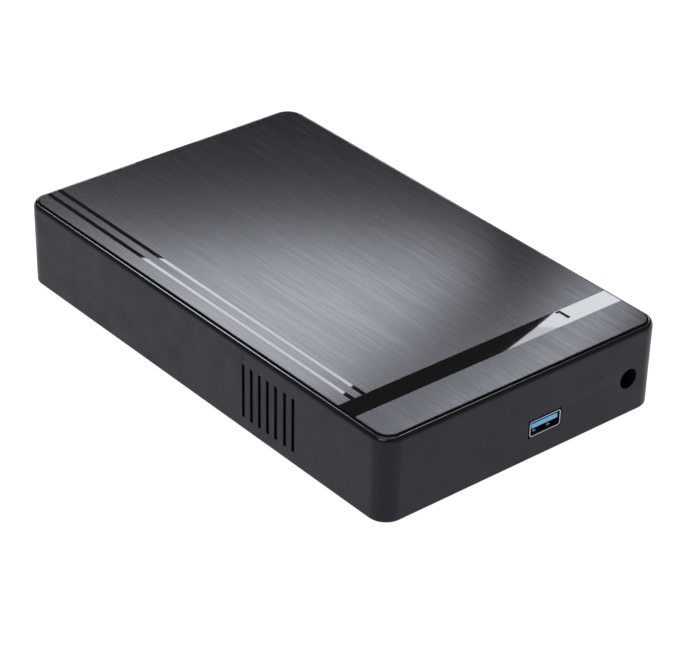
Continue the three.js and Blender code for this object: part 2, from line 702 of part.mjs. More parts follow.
// ---- Head arm, turning about the pivot: built along +X, then turned to its parked angle
const actuator = new THREE.Group();
actuator.rotation.z = PARKED_ANGLE;
pivot.add(actuator);

function armBlock() {
  let body = bar(9, [ARM_Z[0][0], ARM_Z[2][1]], 0, 0, 32);
  for (const z of ARM_Z) {
    const arm = slab([[4, -7], [33, -3.2], [33, 3.2], [4, 7]], z);
    const hole = slab([[14, -2.6], [27, -1.6], [27, 1.6], [14, 2.6]], [z[0] - 1, z[1] + 1]);
    body = join(body, cut(arm, hole));
  }
  body = join(body, block([-12.2, -6], around(0, 5), [13.1, 14.9]));
  return cut(body, bar(BEARING_RADIUS + GAP, [5, 25], 0, 0, 32));
}

function voiceCoil() {
  const z = [12.9, 15.1];
  const window = fan(16.5, 22, [171, 189], [z[0] - 1, z[1] + 1]);
  return cut(fan(13.4, 26, [163, 197], z), window);
}

// One head suspension: a thin tapered spring, its slider, and the lift tab at the tip.
// Its slider reaches up or down to the disc face that it reads.
function suspension(plateZ, sliderZ) {
  const leaf = slab([[29, -3], [47, -1], [53, -0.5], [53, 0.5], [47, 1], [29, 3]], plateZ);
  return join(leaf, block([48.8, 50.4], around(0, 0.8), sliderZ));
}

addTo(actuator, 'head_arm_block', armBlock(), FINISH.aluminium);
addTo(actuator, 'voice_coil', voiceCoil(), FINISH.copper);
const SUSPENSIONS = [
  { plate: [9.7, 9.95], slider: [9.8, 10.2] },
  { plate: [12.85, 13.1], slider: [12.1, 13] },
  { plate: [14.9, 15.15], slider: [15, 15.9] },
  { plate: [18.05, 18.3], slider: [17.8, 18.2] },
];
SUSPENSIONS.forEach(({ plate, slider }, index) => {
  addTo(actuator, `head_suspension_${index + 1}`, suspension(plate, slider), FINISH.steel);
});

export default model;
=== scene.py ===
import math

import bmesh
import bpy
from mathutils import Matrix, Vector


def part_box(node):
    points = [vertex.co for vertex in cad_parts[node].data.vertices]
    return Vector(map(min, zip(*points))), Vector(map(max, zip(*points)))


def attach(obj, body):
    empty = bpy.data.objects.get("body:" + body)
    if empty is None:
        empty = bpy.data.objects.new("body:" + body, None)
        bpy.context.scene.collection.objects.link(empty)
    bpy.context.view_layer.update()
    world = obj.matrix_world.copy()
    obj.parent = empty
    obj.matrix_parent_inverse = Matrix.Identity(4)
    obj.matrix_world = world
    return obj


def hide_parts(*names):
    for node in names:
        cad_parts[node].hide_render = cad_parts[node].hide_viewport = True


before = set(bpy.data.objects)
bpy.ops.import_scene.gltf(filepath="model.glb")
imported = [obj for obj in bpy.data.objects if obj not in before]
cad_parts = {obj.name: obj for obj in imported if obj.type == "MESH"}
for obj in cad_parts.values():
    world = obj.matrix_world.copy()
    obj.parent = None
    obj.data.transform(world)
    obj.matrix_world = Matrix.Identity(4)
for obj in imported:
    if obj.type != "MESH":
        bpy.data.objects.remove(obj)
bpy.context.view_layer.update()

# External hard disk drive: a black enclosure with a brushed top panel, round a 3.5-inch drive.
# Lengths in this script are millimetres; MM turns them into Blender's metres.
MM = 0.001


def cad(node):
    """Lowest and highest corner of a CAD node, in millimetres."""
    low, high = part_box(node)
    return Vector(low) / MM, Vector(high) / MM


# ---- Sizes taken from the frame
CASE_LOW, CASE_HIGH = cad("bottom_case")
WINDOW_LOW, WINDOW_HIGH = cad("indicator_window")
LATCH_LOW, LATCH_HIGH = cad("latch_tongue")
USB_LOW, USB_HIGH = cad("usb_shell")
TONGUE_LOW, TONGUE_HIGH = cad("usb_tongue")
JACK_LOW, JACK_HIGH = cad("dc_jack")
PIN_LOW, PIN_HIGH = cad("dc_pin")
BOARD_LOW, BOARD_HIGH = cad("bridge_board")
CHIP_LOW, CHIP_HIGH = cad("bridge_chip")
HALF_X = CASE_HIGH.x
HALF_Y = CASE_HIGH.y
RIM_Z = CASE_HIGH.z
BASE_Z = CASE_LOW.z
TOP_Z = cad("top_panel")[1].z
BAND_END_X = cad("gloss_inlay")[1].x
DRIVE_HALF_Y = cad("drive_base")[1].y

# ---- Sizes that repeat the CAD design
CORNER = 7.0
RIM_ROUND_DOWN = 1.7
BASE_ROUNDING = 0.8
DRAFT = 0.3
RIM_WALL = 1.4
SIDE_WALL = 3.4
FLOOR_Z = 2.4
STEP_Z = 29.9
PANEL_INSET = 2.0
PANEL_THICKNESS = 1.8
PANEL_X = HALF_X - PANEL_INSET
PANEL_Y = HALF_Y - PANEL_INSET
PANEL_CORNER = CORNER - PANEL_INSET
GAP = 0.3
BAND_WIDTH = 7.9
INLAY_DEPTH = 0.4
WINDOW_WIDTH = 1.0
WINDOW_LEG_WIDTH = 0.8
STRIPE_Y = (-50.1, -45.7)
STRIPE_WIDTH = 1.55
VENT_X = (26.2, 30.35, 34.4, 38.5, 42.6, 47.1, 51.2)
VENT_WIDTH = 1.5
VENT_Z = (5.6, 25.3)
RIB_X = (-74, -34, 6, 58)
RIB_THICKNESS = 2.0
RIB_TOP_Z = 26.0
LUG_X = (0.4 - PANEL_X, 1.8 - PANEL_X)
LUG_HALF_WIDTH = 9.0
LUG_Z = 27.6
HOOK_HALF_WIDTH = 6.0
HOOK_Z = (28.0, 29.0)
TAB_Y = (-38, 0, 38)
TAB_HALF_WIDTH = 4.0
TAB_X = (89.3, 93.9)
TAB_Z = (28.3, 29.5)
BOARD_SCREWS = ((84, -32), (84, 28))
BOSS_RADIUS = 3.4
BOSS_HOLE_RADIUS = 1.4
DC_RADIUS = 3.6
DC_BORE = 2.8
DC_BORE_START_X = 85.0
USB_CLEARANCE = 0.45

# ---- Sizes of the visual model only
RIM_ROUND_IN = 1.17
CORNER_STEPS = 14
BASE_STEPS = 4
RIM_STEPS = 14
PLAIN_RIM_STEPS = 5
RIM_LIP = 0.05
SEAM_WIDTH = 0.16
GRIP_Z = (16, 18, 20)
GRIP_WIDTH = 0.7
GRIP_DEPTH = 0.3
GRIP_HALF_LENGTH = 8.0
PANEL_EDGE = 0.22
INLAY_SINK = 0.015
INLAY_CLEARANCE = 0.03
SLOT_CLEARANCE = 0.1
LENS_SINK = 0.25
SHELL_METAL = 0.32
SHELL_CORNER = 0.9
# The shell's front edge is broken over this far along x and inwards.
SHELL_EDGE = (0.08, 0.06)
FINGER_OFFSET = 3.0
# The spring fingers run between these two distances behind the shell's front.
FINGER_SPAN = (2.4, 7.0)
FINGER_HALF_WIDTH = 1.0
SLIT_HALF_WIDTH = 0.15
BUMP_OFFSETS = (-3.3, 2.7)
TONGUE_TOP_GAP = 0.25
CONTACT_PITCH = 2.2
# Cutting shapes reach this far past the outside.
BEYOND = 5.0


# ---- Mesh helpers
def ring_points(half_x, half_y, radius, z, centre_x=0.0, steps=CORNER_STEPS):
    """A rectangle with round corners at one height, as points that run anticlockwise."""
    points = []
    for quarter, (sx, sy) in enumerate(((1, 1), (-1, 1), (-1, -1), (1, -1))):
        for step in range(steps + 1):
            angle = (quarter + step / steps) * math.pi / 2
            x = sx * (half_x - radius) + radius * math.cos(angle)
            y = sy * (half_y - radius) + radius * math.sin(angle)
            points.append((centre_x + x, y, z))
    return points


def make_object(name, bm):
    """A Blender object in metres from a mesh built in millimetres."""
    mesh = bpy.data.meshes.new(name)
    bmesh.ops.recalc_face_normals(bm, faces=bm.faces)
    bmesh.ops.scale(bm, vec=(MM, MM, MM), verts=bm.verts)
    bm.to_mesh(mesh)
    bm.free()
    piece = bpy.data.objects.new(name, mesh)
    bpy.context.collection.objects.link(piece)
    return piece


def loft(name, rings, material_of=None):
    """A closed solid through a list of rings, capped at both ends.
    material_of gives the material index of the faces between ring i and ring i + 1."""
    bm = bmesh.new()
    rows = [[bm.verts.new(point) for point in ring] for ring in rings]
    count = len(rows[0])
    bm.faces.new(reversed(rows[0]))
    for index, (lower, upper) in enumerate(zip(rows, rows[1:])):
        for i in range(count):
            j = (i + 1) % count
            face = bm.faces.new((lower[i], lower[j], upper[j], upper[i]))
            face.material_index = material_of(index) if material_of else 0
    bm.faces.new(rows[-1])
    bmesh.ops.remove_doubles(bm, verts=bm.verts, dist=1e-5)
    return make_object(name, bm)


def add_block(bm, x, y, z):
    """Adds a box from its ranges along x, y and z."""
    size = Vector((x[1] - x[0], y[1] - y[0], z[1] - z[0]))
    middle = Vector((x[0] + x[1], y[0] + y[1], z[0] + z[1])) / 2
    matrix = Matrix.Translation(middle) @ Matrix.Diagonal((*size, 1))
    bmesh.ops.create_cube(bm, size=1, matrix=matrix)


def add_rod(bm, radius, start, end, sides=48, end_radius=None):
    """Adds a round bar between two points."""
    start, end = Vector(start), Vector(end)
    turn = (end - start).to_track_quat("Z", "Y").to_matrix().to_4x4()
    bmesh.ops.create_cone(
        bm,
        cap_ends=True,
        segments=sides,
        radius1=radius,
        radius2=radius if end_radius is None else end_radius,
        depth=(end - start).length,
        matrix=Matrix.Translation((start + end) / 2) @ turn,
    )


def block(name, x, y, z):
    bm = bmesh.new()
    add_block(bm, x, y, z)
    return make_object(name, bm)


def rod(name, radius, start, end):
    bm = bmesh.new()
    add_rod(bm, radius, start, end, 64)
    return make_object(name, bm)


def turned(name, outline, x=0.0, y=0.0, sides=64):
    """A turned piece from (radius, height) pairs that start and end on its axis."""
    bm = bmesh.new()
    rows = []
    for radius, z in outline:
        if radius == 0:
            rows.append([bm.verts.new((x, y, z))])
            continue
        row = []
        for i in range(sides):
            angle = 2 * math.pi * i / sides
            row.append(bm.verts.new((x + radius * math.cos(angle), y + radius * math.sin(angle), z)))
        rows.append(row)
    for lower, upper in zip(rows, rows[1:]):
        for i in range(sides):
            j = (i + 1) % sides
            corners = [row[k % len(row)] for row, k in ((lower, i), (lower, j), (upper, j), (upper, i))]
            bm.faces.new(list(dict.fromkeys(corners)))
    return make_object(name, bm)


def bake(piece):
    """Replaces a piece's mesh by what its modifiers make of it."""
    depsgraph = bpy.context.evaluated_depsgraph_get()
    result = bpy.data.meshes.new_from_object(piece.evaluated_get(depsgraph))
    piece.modifiers.clear()
    old = piece.data
    piece.data = result
    result.name = piece.name
    bpy.data.meshes.remove(old)
    return piece


def combine(piece, operation, tools):
    """Joins, cuts or intersects a piece with other objects, which are used up."""
    for tool in tools:
        step = piece.modifiers.new("step", "BOOLEAN")
        step.operation = operation
        step.solver = "EXACT"
        step.object = tool
        bake(piece)
        bpy.data.objects.remove(tool)
    return piece


def cut(piece, *tools):
    return combine(piece, "DIFFERENCE", tools)


def join(piece, *tools):
    return combine(piece, "UNION", tools)


def soften(piece, width=0.12, segments=2, angle=35):
    """Rounds a piece's sharp edges."""
    weld = piece.modifiers.new("weld", "WELD")
    weld.merge_threshold = 2e-6
    bevel = piece.modifiers.new("edges", "BEVEL")
    bevel.width = width * MM
    bevel.segments = segments
    bevel.limit_method = "ANGLE"
    bevel.angle_limit = math.radians(angle)
    bevel.harden_normals = False
    bevel.miter_outer = "MITER_ARC"
    return piece


def smooth(piece, angle=32):
    """Smooth round faces; weighted normals keep the large flat faces flat."""
    piece.data.polygons.foreach_set("use_smooth", [True] * len(piece.data.polygons))
    piece.data.set_sharp_from_angle(angle=math.radians(angle))
    piece.data.update()
    normals = piece.modifiers.new("normals", "WEIGHTED_NORMAL")
    normals.keep_sharp = True
    normals.weight = 100
    return piece


def place(piece, body, node=None, materials=()):
    """Puts a piece on its body, gives it its finishes and hides the CAD node that it replaces."""
    for material in materials:
        piece.data.materials.append(material)
    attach(piece, body)
    if node:
        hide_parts(node)
    return piece


# ---- Material helpers
class Nodes:
    """A short way to write a material's nodes."""

    def __init__(self, name):
        self.material = bpy.data.materials.new(name)
        self.material.use_nodes = True
        self.tree = self.material.node_tree
        self.shader = self.tree.nodes["Principled BSDF"]
        self.place = self.add("ShaderNodeTexCoord").outputs["Object"]

    def add(self, kind, **settings):
        node = self.tree.nodes.new(kind)
        for key, value in settings.items():
            setattr(node, key, value)
        return node

    def link(self, source, target):
        self.tree.links.new(source, target)

    def set(self, **values):
        for key, value in values.items():
            self.shader.inputs[key.replace("_", " ")].default_value = value

    def stretched(self, scale):
        """Object coordinates times a scale along each axis, per metre."""
        mapping = self.add("ShaderNodeMapping")
        mapping.inputs["Scale"].default_value = scale
        self.link(self.place, mapping.inputs["Vector"])
        return mapping.outputs["Vector"]

    def noise(self, scale, detail=3.0, roughness=0.55, vector=None):
        node = self.add("ShaderNodeTexNoise")
        node.inputs["Scale"].default_value = scale
        node.inputs["Detail"].default_value = detail
        node.inputs["Roughness"].default_value = roughness
        self.link(vector or self.place, node.inputs["Vector"])
        return node.outputs["Fac"]

    def remap(self, value, low, high, new_low=0.0, new_high=1.0):
        node = self.add("ShaderNodeMapRange")
        for name, number in (
            ("From Min", low),
            ("From Max", high),
            ("To Min", new_low),
            ("To Max", new_high),
        ):
            node.inputs[name].default_value = number
        self.link(value, node.inputs["Value"])
        return node.outputs["Result"]

    def math(self, operation, first, second):
        node = self.add("ShaderNodeMath", operation=operation)
        for socket, value in zip(node.inputs, (first, second)):
            if isinstance(value, (int, float)):
                socket.default_value = value
            else:
                self.link(value, socket)
        return node.outputs["Value"]

    def mix(self, factor, first, second):
        """A colour between two colours or colour outputs."""
        node = self.add("ShaderNodeMix", data_type="RGBA")
        self.link(factor, node.inputs["Factor"])
        for socket, value in ((node.inputs[6], first), (node.inputs[7], second)):
            if isinstance(value, tuple):
                socket.default_value = (*value, 1.0)
            else:
                self.link(value, socket)
        return node.outputs[2]

    def bump(self, height, strength, distance):
        node = self.add("ShaderNodeBump")
        node.inputs["Strength"].default_value = strength
        node.inputs["Distance"].default_value = distance * MM
        self.link(height, node.inputs["Height"])
        self.link(node.outputs["Normal"], self.shader.inputs["Normal"])

    def edge_wear(self):
        """Above 0 on worn outer edges: the pointed parts of the mesh, broken up by noise."""
        geometry = self.add("ShaderNodeNewGeometry")
        edge = self.remap(geometry.outputs["Pointiness"], 0.52, 0.62)
        return self.math("MULTIPLY", edge, self.remap(self.noise(900), 0.4, 0.7))

    def color(self, value):
        self.link(value, self.shader.inputs["Base Color"])

    def roughness(self, value):
        self.link(value, self.shader.inputs["Roughness"])


def plastic(name, base, lighter, roughness, grain=2600, depth=0.012, specular=0.5, tint=(1, 1, 1)):
    """Moulded plastic: a fine spark-eroded grain, slow tone changes and paler worn edges."""
    spread = 0.06
    nodes = Nodes(name)
    nodes.set(Specular_IOR_Level=specular, Specular_Tint=(*tint, 1))
    tone = nodes.remap(nodes.noise(26, 4.0), 0.3, 0.7)
    worn = nodes.math("MAXIMUM", nodes.math("MULTIPLY", tone, 0.35), nodes.edge_wear())
    nodes.color(nodes.mix(worn, base, lighter))
    nodes.roughness(nodes.remap(nodes.noise(140), 0.3, 0.7, roughness - spread, roughness + spread))
    nodes.bump(nodes.noise(grain, 2.0), 0.5, depth)
    return nodes.material


def gloss(name, base, roughness, specular=0.5):
    """Polished plastic: near a mirror, with a faint ripple and hair-fine scuffs."""
    scuffing = 0.03
    nodes = Nodes(name)
    nodes.set(Specular_IOR_Level=specular)
    scuffs = nodes.noise(1.0, 2.0, vector=nodes.stretched((900, 5200, 900)))
    nodes.roughness(nodes.remap(scuffs, 0.6, 0.8, roughness, roughness + scuffing))
    nodes.color(nodes.mix(nodes.noise(40), base, tuple(c * 1.5 for c in base)))
    nodes.bump(nodes.noise(70, 1.0), 0.05, 0.01)
    return nodes.material


def metal(name, base, roughness, stretch, contrast=0.18, depth=0.006):
    """Metal with a directional finish; stretch sets the grain along each axis, per metre."""
    nodes = Nodes(name)
    nodes.set(Metallic=1.0)
    grain = nodes.noise(1.0, 4.0, vector=nodes.stretched(stretch))
    dull = tuple(c * (1 - contrast) for c in base)
    nodes.color(nodes.mix(nodes.remap(grain, 0.35, 0.65), dull, base))
    stain = nodes.noise(60, 5.0)
    nodes.roughness(nodes.remap(stain, 0.3, 0.7, roughness - 0.06, roughness + 0.08))
    nodes.bump(grain, 0.4, depth)
    return nodes.material


def brushed_panel():
    """Dark lacquered film with hairlines along its length: the paler lines shine a little more."""
    fine_share = 0.75
    nodes = Nodes("brushed_panel")
    nodes.set(Anisotropic=0.5, Specular_IOR_Level=0.2, Specular_Tint=(0.88, 0.985, 1.17, 1.0))
    nodes.set(Coat_Roughness=0.12)
    fine = nodes.noise(1.0, 2.0, 0.9, vector=nodes.stretched((26, 950, 300)))
    broad = nodes.noise(1.0, 1.0, 0.8, vector=nodes.stretched((22, 200, 100)))
    fine, broad = nodes.math("MULTIPLY", fine, fine_share), nodes.math("MULTIPLY", broad, 1 - fine_share)
    lines = nodes.math("ADD", fine, broad)
    coat = nodes.remap(lines, 0.3, 0.7, 0.145, 0.24)
    nodes.link(coat, nodes.shader.inputs["Coat Weight"])
    nodes.color(nodes.mix(nodes.remap(lines, 0.42, 0.58), (0.002, 0.002, 0.003), (0.040, 0.039, 0.049)))
    nodes.roughness(nodes.remap(lines, 0.36, 0.64, 0.128, 0.112))
    along = nodes.add("ShaderNodeCombineXYZ")
    along.inputs["X"].default_value = 1.0
    nodes.link(along.outputs["Vector"], nodes.shader.inputs["Tangent"])
    nodes.bump(lines, 1.0, 0.0012)
    return nodes.material


def circuit_board():
    """Solder mask over copper: routed lines and pads show as faint lighter, raised bands."""
    nodes = Nodes("circuit_board")
    nodes.set(Roughness=0.32, Coat_Weight=0.4, Coat_Roughness=0.15)
    cells = nodes.add("ShaderNodeTexVoronoi", feature="F1", distance="CHEBYCHEV")
    cells.inputs["Scale"].default_value = 160
    nodes.link(nodes.place, cells.inputs["Vector"])
    bands = nodes.math("PINGPONG", nodes.math("MULTIPLY", cells.outputs["Distance"], 9.0), 1.0)
    routed = nodes.remap(bands, 0.62, 0.7)
    nodes.color(nodes.mix(routed, (0.004, 0.055, 0.018), (0.012, 0.13, 0.045)))
    nodes.bump(routed, 0.6, 0.03)
    return nodes.material


def clear_plastic(name, darker, lighter, transmission, roughness):
    """Plastic that lets part of the light through."""
    nodes = Nodes(name)
    nodes.set(Roughness=roughness, Transmission_Weight=transmission, IOR=1.49)
    nodes.color(nodes.mix(nodes.noise(50), darker, lighter))
    nodes.bump(nodes.noise(300, 2.0), 0.2, 0.01)
    return nodes.material


def foam():
    """Dark foam: small cells; the raised edges between them are paler and the hollows darker, which is
    painted shade.
    """
    base = (0.018, 0.018, 0.020)
    nodes = Nodes("foam")
    nodes.set(Roughness=0.95, Specular_IOR_Level=0.2)
    cells = nodes.add("ShaderNodeTexVoronoi", feature="DISTANCE_TO_EDGE")
    cells.inputs["Scale"].default_value = 1500
    nodes.link(nodes.place, cells.inputs["Vector"])
    cell_edges_and_painted_shade = nodes.remap(cells.outputs["Distance"], 0.0, 0.3, 1.0, 0.0)
    # Painted shade: the colour is darker in the cell hollows than on the raised edges; the same mask
    # raises the edges in the bump.
    nodes.color(nodes.mix(cell_edges_and_painted_shade, base, tuple(c * 2.2 for c in base)))
    nodes.bump(cell_edges_and_painted_shade, 0.7, 0.08)
    return nodes.material


def winding():
    """Varnished copper wire, wound in fine parallel turns, with painted shade in the grooves between
    them and painted highlight on their crowns.
    """
    nodes = Nodes("copper_winding")
    nodes.set(Metallic=1.0, Roughness=0.3, Coat_Weight=0.5, Coat_Roughness=0.1)
    wave = nodes.add("ShaderNodeTexWave", wave_type="BANDS", bands_direction="Z")
    wave.inputs["Scale"].default_value = 900
    nodes.link(nodes.place, wave.inputs["Vector"])
    # Painted shade and highlight: the copper is darker in the grooves between the turns and paler on
    # their crowns, following the bump.
    nodes.color(nodes.mix(wave.outputs["Fac"], (0.32, 0.11, 0.035), (0.72, 0.30, 0.12)))
    nodes.bump(wave.outputs["Fac"], 0.7, 0.05)
    return nodes.material


def label_paper():
    """Plain off-white paper."""
    nodes = Nodes("label_paper")
    nodes.set(Roughness=0.45)
    nodes.color(nodes.mix(nodes.noise(120, 5.0), (0.70, 0.70, 0.68), (0.80, 0.80, 0.78)))
    nodes.bump(nodes.noise(1800, 3.0), 0.25, 0.01)
    return nodes.material


BLUE_BLACK = {"specular": 0.215, "tint": (0.97, 0.94, 1.2)}

FINISH = {
    "case": plastic("case_plastic", (0.0065, 0.006, 0.010), (0.018, 0.017, 0.025), 0.42, **BLUE_BLACK),
    "rim": gloss("rim_gloss", (0.003, 0.003, 0.0035), 0.09, 1.0),
    "inlay": gloss("gloss_inlay", (0.003, 0.003, 0.004), 0.012),
    "panel": brushed_panel(),
    "under_panel": plastic("panel_underside", (0.014, 0.014, 0.016), (0.03, 0.03, 0.034), 0.5),
    "black": plastic("black_plastic", (0.009, 0.009, 0.010), (0.03, 0.03, 0.032), 0.45),
    "chip": plastic("chip_epoxy", (0.012, 0.012, 0.013), (0.04, 0.04, 0.042), 0.6, grain=4200),
    # Black plastic of the DC inlet, set darker than the other black plastic: partly its own black,
    # partly painted shade inside the socket.
    "jack": plastic("jack_plastic_and_painted_shade", (0.002, 0.002, 0.0024), (0.008, 0.008, 0.009), 0.6, specular=0.12),
    "blue": plastic("blue_plastic", (0.10, 0.53, 1.0), (0.18, 0.64, 1.0), 0.34, depth=0.006),
    "ceramic": plastic("ceramic", (0.10, 0.065, 0.040), (0.20, 0.14, 0.09), 0.5, grain=3000),
    "white": plastic("white_plastic", (0.66, 0.65, 0.60), (0.78, 0.77, 0.73), 0.45),
    "film": plastic("flex_film", (0.40, 0.15, 0.03), (0.62, 0.28, 0.06), 0.3),
    "rubber": plastic("rubber", (0.014, 0.014, 0.015), (0.045, 0.045, 0.048), 0.85, grain=1800),
    "foam": foam(),
    "board": circuit_board(),
    "clear": clear_plastic("clear_plastic", (0.72, 0.8, 0.9), (0.85, 0.9, 0.95), 0.75, 0.12),
    "smoked": clear_plastic("smoked_lens", (0.008, 0.008, 0.010), (0.02, 0.02, 0.026), 0.3, 0.35),
    "shell": metal("plated_shell", (0.62, 0.62, 0.63), 0.3, (300, 2600, 2600), 0.1),
    # The USB shell's plating again, painted far darker for its inner faces: painted shade inside the
    # port.
    "shell_inside_painted_shade": metal("shell_inside_painted_shade", (0.07, 0.07, 0.075), 0.5, (300, 900, 900), 0.2),
    "steel": metal("steel", (0.46, 0.465, 0.48), 0.34, (60, 3000, 3000)),
    "cast": metal("cast_aluminium", (0.50, 0.51, 0.53), 0.45, (1500, 1500, 1500), 0.25, 0.03),
    "turned": metal("turned_aluminium", (0.66, 0.67, 0.69), 0.28, (400, 400, 5000), 0.12),
    "disc": metal("disc_mirror", (0.80, 0.81, 0.84), 0.07, (40, 40, 40), 0.03, 0.0005),
    "nickel": metal("nickel_magnet", (0.42, 0.41, 0.40), 0.25, (700, 700, 700), 0.1),
    "gold": metal("gold_contacts", (0.95, 0.62, 0.22), 0.22, (1200, 1200, 1200), 0.12),
    "copper": winding(),
    "label": label_paper(),
}


# ---- Case
def rounding(outer, edge_z, across, down, steps, upwards=True):
    """(inset, height) pairs along a quarter ellipse at the top or the bottom of a wall."""
    pairs = []
    for step in range(steps + 1):
        angle = step / steps * math.pi / 2
        if upwards:
            inset, height = across * (1 - math.cos(angle)), -down * (1 - math.sin(angle))
        else:
            inset, height = across * (1 - math.sin(angle)), down * (1 - math.cos(angle))
        pairs.append((outer + inset, edge_z + height))
    return pairs


def case_outside():
    """Rings up the outside of the case, from the edge of its base to the top of its rim."""
    pairs = rounding(DRAFT, BASE_Z, BASE_ROUNDING, BASE_ROUNDING, BASE_STEPS, upwards=False)
    pairs += rounding(0.0, RIM_Z, RIM_ROUND_IN, RIM_ROUND_DOWN, RIM_STEPS)
    return [ring_points(HALF_X - i, HALF_Y - i, max(CORNER - i, 0.5), z) for i, z in pairs]


# Ring at which the gloss starts: the plain wall runs on into the first steps of the rim.
GLOSS_START = BASE_STEPS + 1 + PLAIN_RIM_STEPS
BAY_Y = HALF_Y - SIDE_WALL


def case_body():
    """The tub: outside, rim, the step that carries the panel, and the bay down to the floor."""
    rings = case_outside()
    gloss_end = len(rings) + 1
    wide_x, wide_y = HALF_X - RIM_WALL, HALF_Y - RIM_WALL
    inner_corner = CORNER - RIM_WALL
    lip = (wide_x + RIM_LIP, wide_y + RIM_LIP, inner_corner + RIM_LIP)
    rings.append(ring_points(*lip, RIM_Z - 0.02))
    rings.append(ring_points(wide_x, wide_y, inner_corner, RIM_Z - 0.2))
    rings.append(ring_points(wide_x, wide_y, inner_corner, STEP_Z))
    bay_shift = (RIM_WALL - SIDE_WALL) / 2
    bay_x = HALF_X - (RIM_WALL + SIDE_WALL) / 2
    for z in (STEP_Z, FLOOR_Z):
        rings.append(ring_points(bay_x, BAY_Y, CORNER - SIDE_WALL, z, bay_shift))
    return loft("case_shell", rings, lambda index: 1 if GLOSS_START <= index < gloss_end else 0)


def add_ribs_and_bosses(case):
    for side in (-1, 1):
        bm = bmesh.new()
        for x in RIB_X:
            y = sorted((side * (DRIVE_HALF_Y + GAP), side * (BAY_Y + 1)))
            add_block(bm, (x - RIB_THICKNESS / 2, x + RIB_THICKNESS / 2), y, (FLOOR_Z - 1, RIB_TOP_Z))
        join(case, make_object("ribs", bm))
    bm = bmesh.new()
    for x, y in BOARD_SCREWS:
        add_rod(bm, BOSS_RADIUS, (x, y, FLOOR_Z - 1), (x, y, BOARD_LOW.z - GAP))
    join(case, make_object("bosses", bm))


def cut_vents(case):
    for side in (-1, 1):
        bm = bmesh.new()
        y = sorted((side * (BAY_Y - 1), side * (HALF_Y + BEYOND)))
        for x in VENT_X:
            add_block(bm, (x - VENT_WIDTH / 2, x + VENT_WIDTH / 2), y, VENT_Z)
        cut(case, make_object("vents", bm))


def cut_recesses(case):
    """The seam above the vents, and the sockets for the screws, feet, pads and panel tabs."""
    bm = bmesh.new()
    seam_x = VENT_X[0] - VENT_WIDTH / 2
    seam_y = (-HALF_Y - 1, SEAM_WIDTH - HALF_Y)
    seam_z = (VENT_Z[1] - 1, RIM_Z - RIM_ROUND_DOWN + 0.2)
    add_block(bm, (seam_x - SEAM_WIDTH / 2, seam_x + SEAM_WIDTH / 2), seam_y, seam_z)
    for x, y in BOARD_SCREWS:
        add_rod(bm, BOSS_HOLE_RADIUS, (x, y, FLOOR_Z + 0.6), (x, y, BOARD_LOW.z + 1), 24)
    for number in range(1, 5):
        low, high = cad(f"rubber_foot_{number}")
        middle = (low + high) / 2
        bottom, top = (middle.x, middle.y, BASE_Z - 1), (middle.x, middle.y, high.z + GAP)
        add_rod(bm, (high.x - low.x) / 2 + GAP, bottom, top)
    for number in range(1, 3):
        low, high = cad(f"floor_pad_{number}")
        x = (low.x - GAP, high.x + GAP)
        add_block(bm, x, (low.y - GAP, high.y + GAP), (low.z - GAP, FLOOR_Z + 1))
    for y in TAB_Y:
        wide = (y - TAB_HALF_WIDTH - GAP, y + TAB_HALF_WIDTH + GAP)
        add_block(bm, (TAB_X[0] - 1, TAB_X[1] + GAP), wide, (TAB_Z[0] - 0.8, TAB_Z[1] + GAP))
    cut(case, make_object("recesses", bm))


def cut_openings(case):
    """Open pockets over the tabs, both port holes and the gap round the latch."""
    bm = bmesh.new()
    for y in TAB_Y:
        wide = (y - TAB_HALF_WIDTH - GAP, y + TAB_HALF_WIDTH + GAP)
        add_block(bm, (TAB_X[0] - 2, HALF_X - RIM_WALL), wide, (TAB_Z[0] - 0.7, STEP_Z + 1))
    port_x = (HALF_X - SIDE_WALL - 1, HALF_X + BEYOND)
    usb_y = (USB_LOW.y - USB_CLEARANCE, USB_HIGH.y + USB_CLEARANCE)
    add_block(bm, port_x, usb_y, (USB_LOW.z - USB_CLEARANCE, USB_HIGH.z + USB_CLEARANCE))
    jack_y = ((JACK_LOW + JACK_HIGH) / 2).y
    jack_z = (PIN_LOW.z + PIN_HIGH.z) / 2
    add_rod(bm, DC_RADIUS, (port_x[0], jack_y, jack_z), (port_x[1], jack_y, jack_z), 64)
    latch_x = (-HALF_X - BEYOND, RIM_WALL - HALF_X)
    latch_y = (LATCH_LOW.y - GAP, LATCH_HIGH.y + GAP)
    add_block(bm, latch_x, latch_y, (LATCH_LOW.z - GAP, RIM_Z + BEYOND))
    cut(case, make_object("ports", bm))


def build_case():
    case = case_body()
    add_ribs_and_bosses(case)
    cut_vents(case)
    cut_recesses(case)
    cut_openings(case)
    soften(case, 0.10)
    bake(case)
    smooth(case)
    place(case, "case", "bottom_case", (FINISH["case"], FINISH["rim"]))


def build_latch():
    """The part of the far wall that bends out, with its hook and three finger grips."""
    finger = loft("latch_finger", case_outside(), lambda index: 1 if index >= GLOSS_START else 0)
    latch_x = (-HALF_X - 1, RIM_WALL - HALF_X)
    kept = block("kept", latch_x, (LATCH_LOW.y, LATCH_HIGH.y), (LATCH_LOW.z, RIM_Z + 1))
    combine(finger, "INTERSECT", [kept])
    hook_x = (RIM_WALL - HALF_X - 1, LATCH_HIGH.x)
    join(finger, block("hook", hook_x, (-HOOK_HALF_WIDTH, HOOK_HALF_WIDTH), HOOK_Z))
    bm = bmesh.new()
    for z in GRIP_Z:
        grip_x, grip_y = (-HALF_X - 1, GRIP_DEPTH - HALF_X), (-GRIP_HALF_LENGTH, GRIP_HALF_LENGTH)
        add_block(bm, grip_x, grip_y, (z - GRIP_WIDTH / 2, z + GRIP_WIDTH / 2))
    cut(finger, make_object("grips", bm))
    soften(finger, 0.10)
    bake(finger)
    smooth(finger)
    place(finger, "latch", "latch_tongue", (FINISH["case"], FINISH["rim"]))


